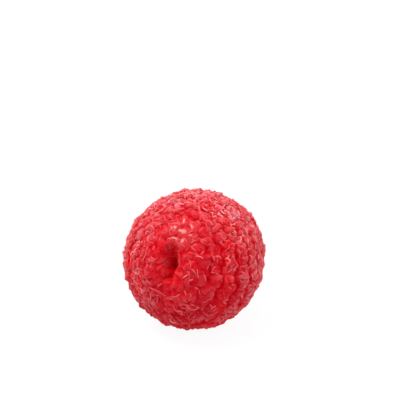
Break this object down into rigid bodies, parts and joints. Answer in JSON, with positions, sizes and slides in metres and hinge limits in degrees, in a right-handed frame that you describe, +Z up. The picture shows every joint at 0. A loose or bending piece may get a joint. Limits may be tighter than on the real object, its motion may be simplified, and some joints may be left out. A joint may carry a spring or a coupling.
{
  "type": "raspberry",
  "caption": "Picked raspberry lying on its side: a nearly round body of small domed drupelets, dimpled at the tip, with an open hollow where the receptacle was.",
  "frame": {"origin": "on the surface that the berry lies on, under the middle of its outer box", "axes": "+Z up; the tip points to -Y and a little up, the hollow opens to +Y and a little down; +X is across the berry"},
  "size_m": [0.0224, 0.0214, 0.0219],
  "materials": {
    "berry_skin": "velvety soft red skin"
  },
  "bodies": {
    "root": {"raspberry": "berry_skin"}
  },
  "joints": []
}
